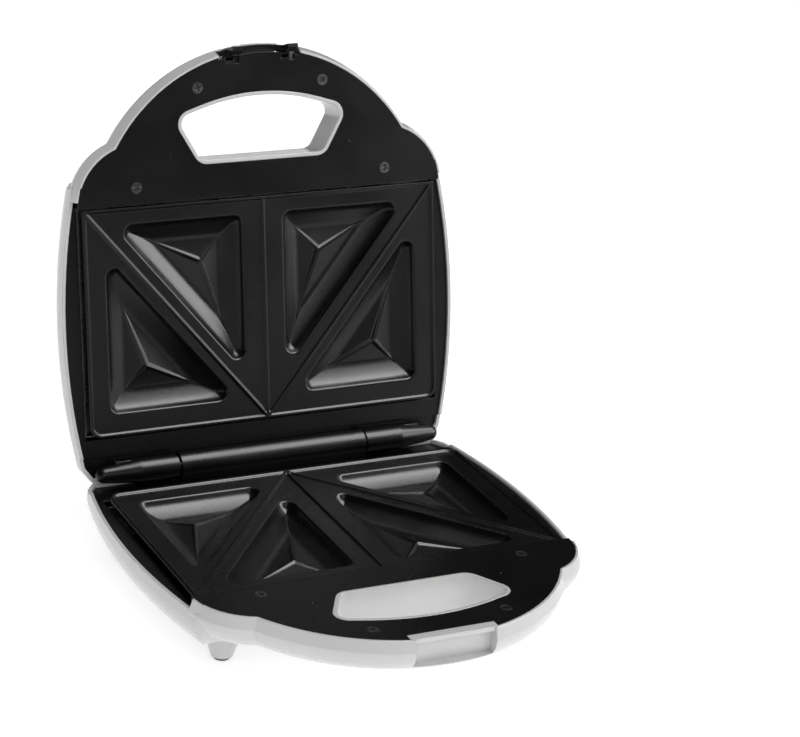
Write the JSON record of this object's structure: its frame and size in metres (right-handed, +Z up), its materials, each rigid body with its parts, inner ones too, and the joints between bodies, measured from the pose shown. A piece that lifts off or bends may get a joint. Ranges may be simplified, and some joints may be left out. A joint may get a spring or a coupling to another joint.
{
  "type": "sandwich toaster",
  "caption": "White hinged sandwich toaster, shown open, with dark non-stick pocket plates, a black frame, loop handles, a hook latch and conical feet.",
  "frame": {"origin": "centre of the footprint at the underside of the rubber pads, with the lid open at rest", "axes": "+X to the right along the hinge, +Y to the rear, +Z up"},
  "size_m": [0.245, 0.2996, 0.2785],
  "materials": {
    "white_shell": "glossy moulded white plastic",
    "black_frame": "satin black heat-proof plastic",
    "coated_plate": "cast aluminium under a dark satin non-stick coating",
    "heater_steel": "steel tube dulled by heat",
    "reflector_sheet": "bright rolled sheet",
    "screw_steel": "plated steel",
    "pin_steel": "ground steel",
    "rubber_pads": "matte",
    "bush_plastic": "satin black plastic",
    "latch_plastic": "satin black plastic",
    "terminal_plastic": "pale heat-proof plastic",
    "thermostat_metal": "plated steel cup",
    "fuse_body": "white sleeve",
    "wire_sleeve": "red braided glass sleeve",
    "red_lens": "clear red",
    "green_lens": "clear green"
  },
  "bodies": {
    "base": {"base_shell": "white_shell", "base_frame": "black_frame", "base_plate": "coated_plate", "base_heater": "heater_steel", "base_reflector": "reflector_sheet", "base_handle_screws": "screw_steel", "base_plate_screws": "screw_steel", "foot_pads": "rubber_pads", "cord_bush": "bush_plastic", "terminal_block": "terminal_plastic", "thermostat": "thermostat_metal", "thermal_fuse": "fuse_body", "base_wires": "wire_sleeve", "hinge_pin_left": "pin_steel", "hinge_pin_right": "pin_steel"},
    "lid": {"lid_shell": "white_shell", "lid_frame": "black_frame", "lid_plate": "coated_plate", "lid_heater": "heater_steel", "lid_reflector": "reflector_sheet", "lid_handle_screws": "screw_steel", "lid_plate_screws": "screw_steel", "lid_wires": "wire_sleeve", "lamp_holder": "terminal_plastic", "power_lamp_lens": "red_lens", "ready_lamp_lens": "green_lens", "latch_pin": "pin_steel"},
    "latch": {"latch": "latch_plastic"}
  },
  "joints": [
    {"name": "lid_hinge", "type": "hinge", "parent": "base", "child": "lid", "pos_m": [0, 0.08449, 0.04515], "axis": [1, 0, 0], "range_deg": [0, 101.6]},
    {"name": "latch_hinge", "type": "hinge", "parent": "lid", "child": "latch", "pos_m": [0, 0.13878, 0.26911], "axis": [1, 0, 0], "range_deg": [0, 10]}
  ]
}
